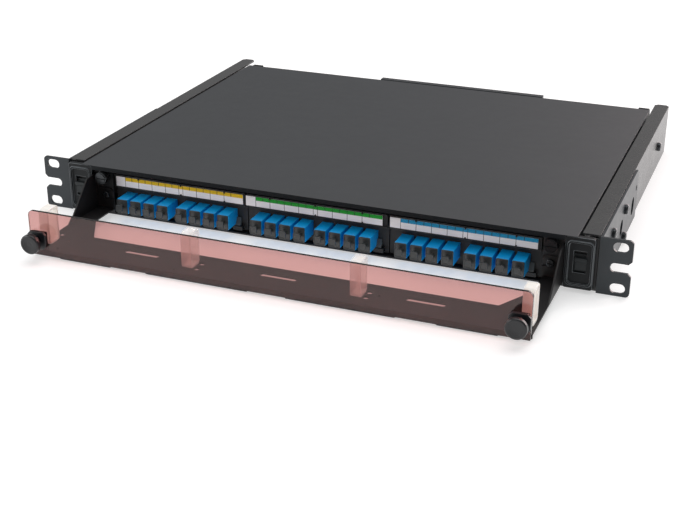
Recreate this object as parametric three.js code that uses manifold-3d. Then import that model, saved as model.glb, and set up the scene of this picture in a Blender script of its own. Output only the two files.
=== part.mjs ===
// Sliding one-unit fibre termination box for a 19 inch rack: rails and ears that stay in the rack,
// a drawer with adapter modules, and a cord tray with a clear front plate.
// Millimetres. +X is to the right of a person who faces the front, +Y goes to the rear, +Z is up.
// In the design coordinates y = 0 is the front face of the rack ears and z = 0 is their lower edge.
import * as THREE from 'three';
import { mergeVertices } from 'three/addons/utils/BufferGeometryUtils.js';
import Module from 'manifold-3d';

const wasm = await Module();
wasm.setup();

// ---------------------------------------------------------------- driving dimensions

const RACK_WIDTH = 482.6;
const UNIT_HEIGHT = 43.7;
const AIR = 0.3; // left between neighbouring pieces
const SHEET = 1.2; // folded steel of the drawer and the cord tray
const REACH = 1; // how far a cutting tool runs past what it cuts
const ARC_STEPS = 4; // half the straight steps in each quarter round
const ROUND_SIDES = 24;

const EAR = {
  inner: 217.6,
  outer: RACK_WIDTH / 2,
  thick: 2.0,
  sideThick: 1.7,
  sideLength: 156,
  sideBottom: 0.6,
  sideTop: 43.1,
  sideChamfer: 6,
  corner: 3,
  holeX: 232.55,
  holeZ: [6.0, 37.7],
  holeLength: 11,
  holeHeight: 7.4,
  slotEndX: 226,
  slotHeight: 7,
  slotLip: 2.4,
};

const RAIL = {
  outer: 217.3,
  inner: 204.4,
  front: 3,
  rear: 333.5,
  thick: 1.5,
  rearChamfer: 5,
  ledgeInner: 207,
  ledgeThick: 1.6,
};

const RUNNER = {
  inner: 202.8,
  outer: 213,
  front: 8,
  rear: 308,
  bottom: 8.1,
  top: 33.5,
  thick: 1.5,
};

const DRAWER = {
  half: 202.5,
  floorBottom: 1,
  coverFront: -5,
  coverRear: 315,
  coverTop: 43.2,
  coverLip: 39.5,
  coverSide: 34,
  rear: 317.5,
  cornerRear: 324,
  cornerWidth: 10,
  flangeFront: 0.6,
  flangeThick: 1.5,
  flangeInner: 177.5,
  flangeOuter: 216.8,
  flangeBottom: 3,
  flangeTop: 41.5,
};
DRAWER.wall = DRAWER.half - SHEET - AIR; // outer face of the tray's side walls

const BEZEL = {
  inner: 193.9,
  outer: 217.4,
  bottom: 2.6,
  top: 42.5,
  front: -4,
  back: 0.3,
  centre: 205.9,
  ringWidth: 21.3,
  ringHeight: 34.6,
  ringMiddle: 22.4,
  ringProud: 1.0,
  ringBand: 1.6,
  recess: 0.8,
};

const LATCH = {
  windowWidth: 9.3,
  windowBottom: 15,
  windowTop: 31.7,
  buttonWidth: 8.7,
  buttonBottom: 17,
  buttonHeight: 9.8,
  face: -3.2,
  ridgeFace: -4.8,
  ridgeHeight: 3,
  carrierWidth: 12.4,
  carrierBottom: 11.5,
  carrierTop: 29,
  pocketBottom: 9.5,
  pocketTop: 35,
  pocketDepth: 1.6,
};

const MODULE = {
  count: 3,
  pitch: 118,
  width: 117.2,
  face: 5,
  plate: 1.5,
  bottom: 3.2,
  top: 38.8,
  depth: 55,
  cheekTop: 24,
  holderFront: 2,
  holderBottom: 25.1,
  holderTop: 35.9,
  lipFront: 1,
  lip: 0.9,
  catchX: [47.6, 55.4],
  catchZ: [4.4, 7.6],
  catchFront: 0.4,
};

const LABEL = { width: 113, height: 8, bottom: 26.5, thick: 0.6, shifts: [0, -2.3, -1.2] };

const ADAPTER = {
  perGroup: 4,
  pitch: 12.1,
  groupCentre: 26.6,
  width: 9.5,
  bottom: 8.4,
  height: 12.1,
  front: -11,
  rear: 24,
  flangeMargin: 1.1,
  flangeBottom: 6,
  flangeTop: 23,
  flangeThick: 1.5,
  socketWidth: 7.4,
  socketHeight: 9.8,
  socketDepth: 14,
};

const CAP = {
  plugDepth: 13,
  lipWidth: 9.1,
  lipHeight: 12,
  lipThick: 1,
  stemWidth: 2.8,
  stemHeight: 3.6,
  stemLength: 3.6,
  tabWidth: 5.8,
  tabHeight: 6,
  tabThick: 1.2,
};

const CORD_TRAY = {
  half: 193.5,
  wingInner: 178,
  floorBottom: 5.3,
  front: -92.7,
  floorRear: -57.6,
  kneeX: 161.3,
  kneeY: -27,
  rear: 0.3,
  skirtBottom: 0.8,
  skirtNotch: 2,
  notchWidth: 30,
  notchPitch: 112,
  skirtShortFrom: 170,
  armTop: 35.2,
  armFrontTop: [-13.8, 34.4],
  armElbow: [-37, 11.7],
  armFoot: -43.5,
  hookTop: 24,
  hookInner: 177.5,
  slotMiddle: 18.3,
  slotHeight: 6.3,
  slotEnd: 186.2,
  cordSlot: 29,
  cordSlotWidth: 4.8,
  cordSlotY: -71.4,
  // Small slots and screw holes beside the feet of the loops.
  footSlots: [
    [-187.2, -61.4], [-186.9, -68], [-60.6, -71.4], [-60.4, -80.6],
    [71.4, -71.4], [71.6, -80], [186.9, -68], [187.2, -61.4],
  ],
  footSlot: [4.6, 4],
  footHoles: [[-175.8, -70.4], [-175.7, -85.8], [-75.8, -87.3], [79.4, -74.1], [175.7, -85.8]],
  footHole: 1.1,
  tabHalf: 5.5,
  tabTop: 21.5,
};
CORD_TRAY.floorTop = CORD_TRAY.floorBottom + SHEET;

const RING = {
  xs: [-187.5, -67, 65, 187.5],
  width: 8,
  band: 1.8,
  front: -84,
  rear: -70,
  top: 35,
  corner: 3.2,
};

const PLATE = { half: 193, front: -96, thick: 2.5, bottom: 3, top: 38.5, corner: 4 };

const KNOB = {
  x: 185.5,
  z: 16.2,
  front: -109,
  headRadius: 7.75,
  headThick: 4.6,
  neckRadius: 4.75,
  shaftRadius: 2.4,
  shaftRear: -88,
  boreRadius: 2.8,
  baseWidth: 15.5,
  baseHeight: 14,
  baseThick: 2.7,
  baseChamfer: 2.6,
};

const FIBRE_TRAY = {
  half: 150,
  front: 95,
  rear: 285,
  bottom: 2.6,
  thick: 1.6,
  rim: 3.2,
  rimWidth: 2.5,
  corner: 14,
  spoolX: 72,
  spoolRadius: 30,
  spoolTop: 13,
  flangeRadius: 33,
  flangeThick: 1.6,
};

const BRACKET = { left: -61, right: 101, front: 318, rear: 324.5, bottom: 12, top: 43 };

const REAR_WINDOWS = [
  [-185, -72],
  [112, 185],
];
const WINDOW_BOTTOM = 12;
const WINDOW_TOP = 37;

// The origin is below the middle of the whole object, so the assembly is moved by this much in y.
const CENTRE_Y = (KNOB.front + RAIL.rear) / 2;

// ---------------------------------------------------------------- finishes

const finish = (color, roughness, metalness, extra = {}) =>
  new THREE.MeshStandardMaterial({ color, roughness, metalness, ...extra });

const FINISH = {
  railCoat: finish(0x3a3c3f, 0.5, 0.35),
  earCoat: finish(0x33383c, 0.5, 0.3),
  drawerCoat: finish(0x2b2d2f, 0.55, 0.3),
  coverCoat: finish(0x525456, 0.55, 0.3),
  zincSteel: finish(0xa5a8aa, 0.4, 0.9),
  blackPlastic: finish(0x17181a, 0.45, 0),
  modulePlate: finish(0x121314, 0.55, 0.1),
  paperLabel: finish(0xf2f1ec, 0.8, 0),
  bluePlastic: finish(0x0b6fb8, 0.35, 0),
  smokePlug: finish(0x33383b, 0.35, 0),
  trayCoat: finish(0x1d1b1c, 0.5, 0.2),
  frostedRing: finish(0xe9e7e0, 0.35, 0, { transparent: true, opacity: 0.75 }),
  roseAcrylic: finish(0xd9a19d, 0.1, 0, { transparent: true, opacity: 0.45 }),
  knobPlastic: finish(0x0d0e0f, 0.25, 0),
  creamMoulding: finish(0xd8d6cf, 0.5, 0),
};

// ---------------------------------------------------------------- solids

// A closed three.js geometry as a manifold solid.
function solidOf(geometry) {
  geometry.deleteAttribute('normal');
  geometry.deleteAttribute('uv');
  const merged = mergeVertices(geometry, 1e-4);
  return new wasm.Manifold(
    new wasm.Mesh({
      numProp: 3,
      vertProperties: new Float32Array(merged.attributes.position.array),
      triVerts: new Uint32Array(merged.index.array),
    }),
  );
}

function geometryOf(solid) {
  const mesh = solid.getMesh();
  const geometry = new THREE.BufferGeometry();
  geometry.setAttribute('position', new THREE.BufferAttribute(mesh.vertProperties, 3));
  geometry.setIndex(new THREE.BufferAttribute(mesh.triVerts, 1));
  geometry.computeVertexNormals();
  return geometry;
}

const join = (first, ...others) => others.reduce((sum, solid) => sum.add(solid), first);
const cut = (first, ...tools) => tools.reduce((rest, tool) => rest.subtract(tool), first);

// A box between two x, two y and two z values, given in either order.
function box([xa, xb], [ya, yb], [za, zb]) {
  const geometry = new THREE.BoxGeometry(Math.abs(xb - xa), Math.abs(yb - ya), Math.abs(zb - za));
  geometry.translate((xa + xb) / 2, (ya + yb) / 2, (za + zb) / 2);
  return solidOf(geometry);
}

// An outline pushed along an axis from a to b. Its two coordinates are (y, z) along x, (x, z) along y
// and (x, y) along z.
function prism(shape, axis, a, b) {
  const low = Math.min(a, b);
  const high = Math.max(a, b);
  const geometry = new THREE.ExtrudeGeometry(shape, {
    depth: high - low,
    bevelEnabled: false,
    curveSegments: ARC_STEPS,
  });
  const place = new THREE.Matrix4();
  if (axis === 'x') {
    place.set(0, 0, 1, low, 1, 0, 0, 0, 0, 1, 0, 0, 0, 0, 0, 1);
  } else if (axis === 'y') {
    place.set(1, 0, 0, 0, 0, 0, -1, high, 0, 1, 0, 0, 0, 0, 0, 1);
  } else {
    place.makeTranslation(0, 0, low);
  }
  geometry.applyMatrix4(place);
  return solidOf(geometry);
}

const outline = (points) => new THREE.Shape(points.map(([u, v]) => new THREE.Vector2(u, v)));

// The same outline on the right (side = 1) or mirrored to the left (side = -1).
const sided = (side, points) => outline(points.map(([u, v]) => [side * u, v]));

function roundedRect(centreU, centreV, width, height, radius) {
  const shape = new THREE.Shape();
  const u = width / 2 - radius;
  const v = height / 2 - radius;
  shape.absarc(centreU + u, centreV + v, radius, 0, Math.PI / 2);
  shape.absarc(centreU - u, centreV + v, radius, Math.PI / 2, Math.PI);
  shape.absarc(centreU - u, centreV - v, radius, Math.PI, Math.PI * 1.5);
  shape.absarc(centreU + u, centreV - v, radius, Math.PI * 1.5, Math.PI * 2);
  return shape;
}

// A slot with round ends is a rounded rectangle whose radius is just under half its smaller side.
const slotShape = (centreU, centreV, width, height) =>
  roundedRect(centreU, centreV, width, height, Math.min(width, height) / 2 - 0.01);

const circle = (u, v, radius) =>
  outline(Array.from({ length: ROUND_SIDES }, (_, i) => {
    const angle = ((i + 0.5) / ROUND_SIDES) * 2 * Math.PI;
    return [u + radius * Math.cos(angle), v + radius * Math.sin(angle)];
  }));

// Sheet work as slices along y: each slice is an outline in x and z that starts where the last one ends.
function slices(start, ...steps) {
  let from = start;
  const solids = steps.flatMap(([to, ...shapes]) => {
    const slice = shapes.map((shape) => prism(shape, 'y', from, to));
    from = to;
    return slice;
  });
  return join(...solids);
}

// ---------------------------------------------------------------- rails and ears, fixed in the rack

function rail(side) {
  const { outer, inner, front, rear, thick, rearChamfer, ledgeInner, ledgeThick } = RAIL;
  const channel = cut(
    box([side * inner, side * outer], [front, rear], [0, UNIT_HEIGHT]),
    box([side * (inner - REACH), side * (outer - thick)], [front - REACH, rear + REACH],
      [thick, UNIT_HEIGHT - thick]),
  );
  const ledge = (z) => box([side * ledgeInner, side * (outer - thick / 2)], [front, rear - 20],
    [z, z + ledgeThick]);
  const lowerCorner = prism(
    outline([[rear - rearChamfer, -REACH], [rear + REACH, -REACH], [rear + REACH, rearChamfer]]),
    'x', side * (inner - REACH), side * (outer + REACH),
  );
  const flangeEnd = (x, run) => prism(
    sided(side, [[x, rear - 3], [x, rear + REACH], [x + run, rear + REACH]]),
    'z', -REACH, UNIT_HEIGHT + REACH,
  );
  const rearHole = prism(circle(278, 21.5, 3), 'x', side * (outer - 4), side * (outer + REACH));
  return cut(
    join(channel, ledge(RUNNER.bottom - 0.4 - ledgeThick), ledge(RUNNER.top + 0.4)),
    lowerCorner,
    flangeEnd(inner, 3.5),
    flangeEnd(outer, -3.5),
    rearHole,
  );
}

// Angle bracket: the plate with the rack holes and a long side that is bolted to the rail's web.
function rackEar(side) {
  const { inner, outer, thick, corner } = EAR;
  const roundedPlate = prism(
    roundedRect(side * (outer - 20), UNIT_HEIGHT / 2, 40, UNIT_HEIGHT, corner), 'y', 0, thick);
  const plate = cut(roundedPlate,
    box([side * (inner - 40), side * inner], [-REACH, thick + REACH], [-REACH, UNIT_HEIGHT + REACH]));
  const sidePlate = prism(
    outline([
      [0, EAR.sideBottom],
      [EAR.sideLength, EAR.sideBottom],
      [EAR.sideLength, EAR.sideTop - EAR.sideChamfer],
      [EAR.sideLength - EAR.sideChamfer, EAR.sideTop],
      [0, EAR.sideTop],
    ]),
    'x', side * inner, side * (inner + EAR.sideThick),
  );
  const through = (shape) => prism(shape, 'y', -REACH, thick + REACH);
  const middle = UNIT_HEIGHT / 2;
  const slotRadius = EAR.slotHeight / 2;
  const openSlot = join(
    through(slotShape(side * (EAR.slotEndX + 10), middle, 20, EAR.slotHeight)),
    through(
      sided(side, [
        [outer - EAR.slotLip, middle - slotRadius],
        [outer + REACH, middle - slotRadius - EAR.slotLip - REACH],
        [outer + REACH, middle + slotRadius + EAR.slotLip + REACH],
        [outer - EAR.slotLip, middle + slotRadius],
      ]),
    ),
  );
  const ovals = EAR.holeZ.map((z) =>
    through(slotShape(side * EAR.holeX, z, EAR.holeLength, EAR.holeHeight)));
  // Round holes for the screws into the rail, and large oval ones for a driver.
  const sideCuts = [
    circle(45.5, 29, 4.2),
    circle(96.8, 29, 4.2),
    slotShape(85, 18, 11.4, 12.6),
    slotShape(136, 17, 11.4, 15),
    circle(149, 28, 2.5),
  ].map((shape) => prism(shape, 'x', side * (inner - REACH), side * (inner + EAR.sideThick + REACH)));
  return cut(join(plate, sidePlate), openSlot, ...ovals, ...sideCuts);
}

// ---------------------------------------------------------------- drawer

function drawerTray() {
  const { wall, rear, cornerRear, cornerWidth, flangeFront, flangeThick } = DRAWER;
  const { flangeInner, flangeOuter, flangeBottom, flangeTop, floorBottom } = DRAWER;
  const floorTop = floorBottom + SHEET;
  const wallTop = DRAWER.coverTop - SHEET - AIR;
  const mirroredOutline = (points) =>
    outline([...points, ...points.map(([x, z]) => [-x, z]).reverse()]);
  // Front flanges: the modules' side screws and the bezels are fastened to them.
  const frontFrame = mirroredOutline([
    [wall, floorBottom],
    [wall, flangeBottom],
    [flangeOuter, flangeBottom],
    [flangeOuter, flangeTop],
    [flangeInner, flangeTop],
    [flangeInner, floorTop],
  ]);
  const channel = mirroredOutline([
    [wall, floorBottom],
    [wall, wallTop],
    [wall - SHEET, wallTop],
    [wall - SHEET, floorTop],
  ]);
  const upright = (xa, xb) => outline([[xa, floorBottom], [xb, floorBottom], [xb, wallTop], [xa, wallTop]]);
  const body = slices(
    flangeFront,
    [flangeFront + flangeThick, frontFrame],
    [rear - SHEET, channel],
    [rear, upright(-wall, wall)],
    [cornerRear - SHEET, upright(wall - SHEET, wall), upright(-wall, SHEET - wall)],
    [cornerRear, upright(wall - cornerWidth, wall), upright(-wall, cornerWidth - wall)],
  );
  const cableWindows = REAR_WINDOWS.map((across) =>
    box(across, [rear - SHEET - REACH, rear + REACH], [WINDOW_BOTTOM, WINDOW_TOP]));
  return cut(body, ...cableWindows);
}

function topCover() {
  const { half, coverFront, coverRear, coverTop, coverLip, coverSide } = DRAWER;
  const top = box([-half, half], [coverFront, coverRear], [coverTop - SHEET, coverTop]);
  const frontLip = box([-half, half], [coverFront, coverFront + SHEET], [coverLip, coverTop]);
  const sides = [-1, 1].map((side) =>
    box([side * (half - SHEET), side * half], [RAIL.front + 1, coverRear], [coverSide, coverTop]));
  // The front lip is clipped at both ends where it meets the bezels.
  const clips = [-1, 1].map((side) =>
    box([side * (BEZEL.inner - AIR), side * (half + REACH)], [coverFront - REACH, BEZEL.back + AIR],
      [coverLip - REACH, BEZEL.top + AIR]));
  return cut(join(top, frontLip, ...sides), ...clips);
}

function runner(side) {
  const { inner, outer, front, rear, bottom, top, thick } = RUNNER;
  const web = box([side * (inner - AIR - 1), side * (inner - AIR + 0.5)], [front, rear], [bottom, top]);
  const flange = (z) => box([side * (inner - AIR), side * outer], [front, rear], [z, z + thick]);
  return join(web, flange(bottom), flange(top - thick));
}

function bezel(side) {
  const { inner, outer, bottom, top, front, back, centre, ringMiddle } = BEZEL;
  const middle = side * centre;
  const body = prism(
    sided(side, [
      [inner, bottom],
      [outer, bottom],
      [outer, top - 1.5],
      [outer - 1.5, top],
      [inner + 1.5, top],
      [inner, top - 1.5],
    ]),
    'y', front, back,
  );
  const ringFront = front - BEZEL.ringProud;
  const ring = prism(
    roundedRect(middle, ringMiddle, BEZEL.ringWidth, BEZEL.ringHeight, 3.5),
    'y', ringFront, front + 0.5,
  );
  const insideRing = prism(
    roundedRect(middle, ringMiddle, BEZEL.ringWidth - 2 * BEZEL.ringBand,
      BEZEL.ringHeight - 2 * BEZEL.ringBand, 2.2),
    'y', ringFront - REACH, front + BEZEL.recess,
  );
  const window = box(
    [middle - LATCH.windowWidth / 2, middle + LATCH.windowWidth / 2],
    [front - 2, back + REACH], [LATCH.windowBottom, LATCH.windowTop],
  );
  const pocket = box(
    [middle - LATCH.carrierWidth / 2 - AIR, middle + LATCH.carrierWidth / 2 + AIR],
    [back - LATCH.pocketDepth, back + REACH], [LATCH.pocketBottom, LATCH.pocketTop],
  );
  return cut(join(body, ring), insideRing, window, pocket);
}

// Release button with a finger ridge along its top, on a carrier plate that slides behind the bezel.
function latchSlide(side) {
  const middle = side * BEZEL.centre;
  const half = LATCH.buttonWidth / 2;
  const across = [middle - half, middle + half];
  const carrierFront = BEZEL.back - LATCH.pocketDepth + AIR;
  const buttonTop = LATCH.buttonBottom + LATCH.buttonHeight;
  const button = box(across, [LATCH.face, BEZEL.back - AIR], [LATCH.buttonBottom, buttonTop]);
  const ridge = prism(
    outline([
      [LATCH.face + 0.5, buttonTop - LATCH.ridgeHeight - 1.2],
      [LATCH.ridgeFace, buttonTop - LATCH.ridgeHeight + 0.6],
      [LATCH.ridgeFace, buttonTop - 0.5],
      [LATCH.ridgeFace + 0.5, buttonTop],
      [LATCH.face + 0.5, buttonTop],
    ]),
    'x', across[0], across[1],
  );
  const carrier = box(
    [middle - LATCH.carrierWidth / 2, middle + LATCH.carrierWidth / 2],
    [carrierFront, BEZEL.back - AIR], [LATCH.carrierBottom, LATCH.carrierTop],
  );
  return join(button, ridge, carrier);
}

// Flat moulding with a low rim and two drums that fibre is wound on.
function fibreTray() {
  const { half, front, rear, bottom, thick, rim, rimWidth, corner } = FIBRE_TRAY;
  const middleY = (front + rear) / 2;
  const inside = roundedRect(
    0, middleY, 2 * (half - rimWidth), rear - front - 2 * rimWidth, corner - rimWidth);
  const dish = cut(
    prism(roundedRect(0, middleY, 2 * half, rear - front, corner), 'z', bottom, bottom + rim),
    prism(inside, 'z', bottom + thick, bottom + rim + REACH),
  );
  const { spoolX, spoolRadius, spoolTop, flangeRadius, flangeThick } = FIBRE_TRAY;
  const drumTop = bottom + spoolTop;
  const flangeBottom = drumTop - flangeThick;
  const drums = [-1, 1].flatMap((side) => [
    prism(circle(side * spoolX, middleY, spoolRadius), 'z', bottom + thick / 2, flangeBottom),
    prism(circle(side * spoolX, middleY, flangeRadius), 'z', flangeBottom, drumTop),
  ]);
  return join(dish, ...drums);
}

// Open-bottomed cable bracket on the middle of the drawer's back wall.
function cableBracket() {
  const { left, right, front, rear, bottom, top } = BRACKET;
  const shell = box([left, right], [front, rear], [bottom, top]);
  const inside = box([left + SHEET, right - SHEET], [front + SHEET, rear - SHEET],
    [bottom - REACH, top - SHEET]);
  const tieSlots = [-40, -10, 20, 50, 80].map((x) =>
    prism(slotShape(x, 20, 9, 3), 'y', rear - 2, rear + REACH));
  return cut(shell, inside, ...tieSlots);
}

// ---------------------------------------------------------------- adapter modules

const moduleCentre = (index) => (index - (MODULE.count - 1) / 2) * MODULE.pitch;

// Middles of the adapters in one group, measured from the module's centre line.
function adapterOffsets(groupSide) {
  const first = -((ADAPTER.perGroup - 1) / 2) * ADAPTER.pitch;
  return Array.from({ length: ADAPTER.perGroup }, (_, i) =>
    groupSide * ADAPTER.groupCentre + first + i * ADAPTER.pitch);
}

function adapterModule(index) {
  const centre = moduleCentre(index);
  const half = MODULE.width / 2;
  const across = [centre - half, centre + half];
  const back = MODULE.face + MODULE.plate;
  const { bottom, top, depth, lip } = MODULE;
  const plate = box(across, [MODULE.face, back], [bottom, top]);
  const floor = box(across, [MODULE.face, depth], [bottom, bottom + SHEET]);
  const cheeks = [-1, 1].map((side) =>
    box([centre + side * (half - SHEET), centre + side * half], [MODULE.face, depth],
      [bottom, MODULE.cheekTop]));
  const holder = box([centre - half + 0.6, centre + half - 0.6], [MODULE.holderFront, MODULE.face + 0.5],
    [MODULE.holderBottom, MODULE.holderTop]);
  const lips = [MODULE.holderBottom, MODULE.holderTop - lip].map((z) =>
    box([centre - half + 0.6, centre + half - 0.6], [MODULE.lipFront, MODULE.holderFront + 0.5],
      [z, z + lip]));
  const windows = [-1, 1].flatMap(adapterOffsets).map((offset) => {
    const room = ADAPTER.width / 2 + AIR;
    return box([centre + offset - room, centre + offset + room], [MODULE.face - REACH, back + REACH],
      [ADAPTER.bottom - AIR, ADAPTER.bottom + ADAPTER.height + AIR]);
  });
  // Finger catch at the lower right corner.
  const finger = box(MODULE.catchX.map((x) => centre + x), [MODULE.catchFront, MODULE.face + 0.5],
    MODULE.catchZ);
  return cut(join(plate, floor, ...cheeks, holder, ...lips, finger), ...windows);
}

function labelStrip(index) {
  const centre = moduleCentre(index) + LABEL.shifts[index];
  const back = MODULE.holderFront - AIR;
  return box([centre - LABEL.width / 2, centre + LABEL.width / 2], [back - LABEL.thick, back],
    [LABEL.bottom, LABEL.bottom + LABEL.height]);
}

// Four adapters on one flange that sits behind the module's plate, each with a socket in its front.
function adapterGroup(index, groupSide) {
  const offsets = adapterOffsets(groupSide).map((offset) => moduleCentre(index) + offset);
  const flangeFront = MODULE.face + MODULE.plate + AIR;
  const margin = ADAPTER.width / 2 + ADAPTER.flangeMargin;
  const flange = box([offsets[0] - margin, offsets.at(-1) + margin],
    [flangeFront, flangeFront + ADAPTER.flangeThick], [ADAPTER.flangeBottom, ADAPTER.flangeTop]);
  const { width, bottom, height, front, rear, socketWidth, socketHeight, socketDepth } = ADAPTER;
  const bodies = offsets.map((x) =>
    box([x - width / 2, x + width / 2], [front, rear], [bottom, bottom + height]));
  const middleZ = bottom + height / 2;
  const sockets = offsets.map((x) =>
    box([x - socketWidth / 2, x + socketWidth / 2], [front - REACH, front + socketDepth],
      [middleZ - socketHeight / 2, middleZ + socketHeight / 2]));
  return cut(join(flange, ...bodies), ...sockets);
}

// Plug in the socket, lip over the adapter's face, and a square pull tab on a short stem.
function dustCap(x) {
  const middleZ = ADAPTER.bottom + ADAPTER.height / 2;
  const lipBack = ADAPTER.front - AIR;
  const lipFront = lipBack - CAP.lipThick;
  const block = (width, height, ya, yb) =>
    box([x - width / 2, x + width / 2], [ya, yb], [middleZ - height / 2, middleZ + height / 2]);
  const plug = block(ADAPTER.socketWidth - 2 * AIR, ADAPTER.socketHeight - 2 * AIR,
    lipBack - CAP.lipThick / 2, ADAPTER.front + CAP.plugDepth);
  const lip = block(CAP.lipWidth, CAP.lipHeight, lipFront, lipBack);
  const stemFront = lipFront - CAP.stemLength;
  const stem = block(CAP.stemWidth, CAP.stemHeight, stemFront - CAP.tabThick / 2,
    lipFront + CAP.lipThick / 2);
  const tab = block(CAP.tabWidth, CAP.tabHeight, stemFront - CAP.tabThick, stemFront);
  return join(plug, lip, stem, tab);
}

// ---------------------------------------------------------------- cord tray

function cordTray() {
  const { half, wingInner, floorBottom, floorTop, front, floorRear, kneeX, kneeY, rear } = CORD_TRAY;
  const rightEdge = [
    [half, front],
    [half, rear],
    [wingInner, rear],
    [wingInner, kneeY],
    [kneeX, floorRear],
  ];
  const leftEdge = rightEdge.map(([x, y]) => [-x, y]).reverse();
  const floor = prism(outline([...rightEdge, ...leftEdge]), 'z', floorBottom, floorTop);
  const skirt = box([-half, half], [front, front + SHEET], [CORD_TRAY.skirtBottom, floorTop]);
  const notch = (a, b) => box([a, b], [front - REACH, front + SHEET + REACH],
    [CORD_TRAY.skirtBottom - REACH, CORD_TRAY.skirtBottom + CORD_TRAY.skirtNotch]);
  const columns = [-1, 0, 1].map((i) => i * CORD_TRAY.notchPitch);
  const notches = [
    ...columns.map((x) => notch(x - CORD_TRAY.notchWidth / 2, x + CORD_TRAY.notchWidth / 2)),
    notch(-half - REACH, -CORD_TRAY.skirtShortFrom),
    notch(CORD_TRAY.skirtShortFrom, half + REACH),
  ];
  const cordSlots = columns.map((x) =>
    prism(slotShape(x + 1, CORD_TRAY.cordSlotY, CORD_TRAY.cordSlot, CORD_TRAY.cordSlotWidth),
      'z', floorBottom - REACH, floorTop + REACH));
  const footSlots = CORD_TRAY.footSlots.map(([x, y]) =>
    prism(slotShape(x, y, ...CORD_TRAY.footSlot), 'z', floorBottom - REACH, floorTop + REACH));
  const footHoles = CORD_TRAY.footHoles.map(([x, y]) =>
    prism(circle(x, y, CORD_TRAY.footHole), 'z', floorBottom - REACH, floorTop + REACH));
  const parts = [skirt];
  const openings = [...notches, ...cordSlots, ...footSlots, ...footHoles];
  for (const side of [-1, 1]) {
    parts.push(
      prism(
        outline([
          [rear, floorBottom + 2],
          [rear, CORD_TRAY.armTop],
          CORD_TRAY.armFrontTop,
          CORD_TRAY.armElbow,
          [CORD_TRAY.armFoot, floorTop],
          [CORD_TRAY.armFoot, floorBottom],
          [rear - 2, floorBottom],
        ]),
        'x', side * (half - SHEET), side * half,
      ),
    );
    // Hooked end: a tongue above a slot that takes the lower screw.
    parts.push(
      prism(
        sided(side, [
          [half, floorBottom],
          [CORD_TRAY.hookInner, floorBottom],
          [CORD_TRAY.hookInner, CORD_TRAY.hookTop - 1.6],
          [CORD_TRAY.hookInner + 3.2, CORD_TRAY.hookTop],
          [half, CORD_TRAY.hookTop],
        ]),
        'y', rear - SHEET, rear,
      ),
    );
    const slotLength = CORD_TRAY.slotEnd - CORD_TRAY.hookInner + 6;
    openings.push(
      prism(
        slotShape(side * (CORD_TRAY.slotEnd - slotLength / 2), CORD_TRAY.slotMiddle, slotLength,
          CORD_TRAY.slotHeight),
        'y', rear - SHEET - REACH, rear + REACH,
      ),
    );
    // Tab behind the clear plate that the pull knob's pin goes through.
    parts.push(
      box([side * (KNOB.x - CORD_TRAY.tabHalf), side * (KNOB.x + CORD_TRAY.tabHalf)],
        [front, front + SHEET], [floorBottom, CORD_TRAY.tabTop]),
    );
    openings.push(prism(circle(side * KNOB.x, KNOB.z, KNOB.boreRadius), 'y',
      front - REACH, front + SHEET + REACH));
  }
  return cut(join(floor, ...parts), ...openings);
}

function cordRing(x) {
  const { width, band, front, rear, top, corner } = RING;
  const bottom = CORD_TRAY.floorTop + AIR;
  const middleY = (front + rear) / 2;
  const middleZ = (bottom + top) / 2;
  const loop = roundedRect(middleY, middleZ, rear - front, top - bottom, corner);
  loop.holes.push(
    roundedRect(middleY, middleZ, rear - front - 2 * band, top - bottom - 2 * band, corner - band + 0.4));
  return prism(loop, 'x', x - width / 2, x + width / 2);
}

function clearCover() {
  const { half, front, thick, bottom, top, corner } = PLATE;
  const shape = new THREE.Shape();
  shape.moveTo(-half, bottom);
  shape.lineTo(half, bottom);
  shape.absarc(half - corner, top - corner, corner, 0, Math.PI / 2);
  shape.absarc(corner - half, top - corner, corner, Math.PI / 2, Math.PI);
  const bores = [-1, 1].map((side) =>
    prism(circle(side * KNOB.x, KNOB.z, KNOB.boreRadius), 'y', front - REACH, front + thick + REACH));
  return cut(prism(shape, 'y', front, front + thick), ...bores);
}

function knobBase(side) {
  const w = KNOB.baseWidth / 2;
  const h = KNOB.baseHeight / 2;
  const c = KNOB.baseChamfer;
  const x = side * KNOB.x;
  const corners = [[w - c, h], [c - w, h], [-w, h - c], [-w, c - h], [c - w, -h], [w - c, -h],
    [w, c - h], [w, h - c]];
  const plate = prism(outline(corners.map(([u, v]) => [x + u, KNOB.z + v])), 'y',
    PLATE.front - AIR - KNOB.baseThick, PLATE.front - AIR);
  return cut(plate, prism(circle(x, KNOB.z, KNOB.boreRadius), 'y', PLATE.front - 6, PLATE.front + REACH));
}

// Turned about its own axis, from the head's face at the front to the tip of the pin at the rear.
function pullKnob(side) {
  const { front, headRadius, headThick, neckRadius, shaftRadius, shaftRear } = KNOB;
  const neckRear = PLATE.front - 2 * AIR - KNOB.baseThick;
  const profile = [
    [0, front],
    [headRadius - 1.4, front],
    [headRadius, front + 1.2],
    [headRadius, front + headThick - 1.2],
    [headRadius - 1.2, front + headThick],
    [neckRadius, front + headThick + 0.4],
    [neckRadius, neckRear],
    [shaftRadius, neckRear],
    [shaftRadius, shaftRear - 1],
    [shaftRadius - 1, shaftRear],
    [0, shaftRear],
  ].map(([radius, y]) => new THREE.Vector2(radius, y));
  const geometry = new THREE.LatheGeometry(profile, 20);
  geometry.translate(side * KNOB.x, 0, KNOB.z);
  return solidOf(geometry);
}

// ---------------------------------------------------------------- assembly

const box1U = new THREE.Group();
const inPlace = new THREE.Group();
inPlace.position.y = -CENTRE_Y;
box1U.add(inPlace);

function add(name, solid, material) {
  const mesh = new THREE.Mesh(geometryOf(solid), material);
  mesh.name = name;
  inPlace.add(mesh);
}

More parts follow.
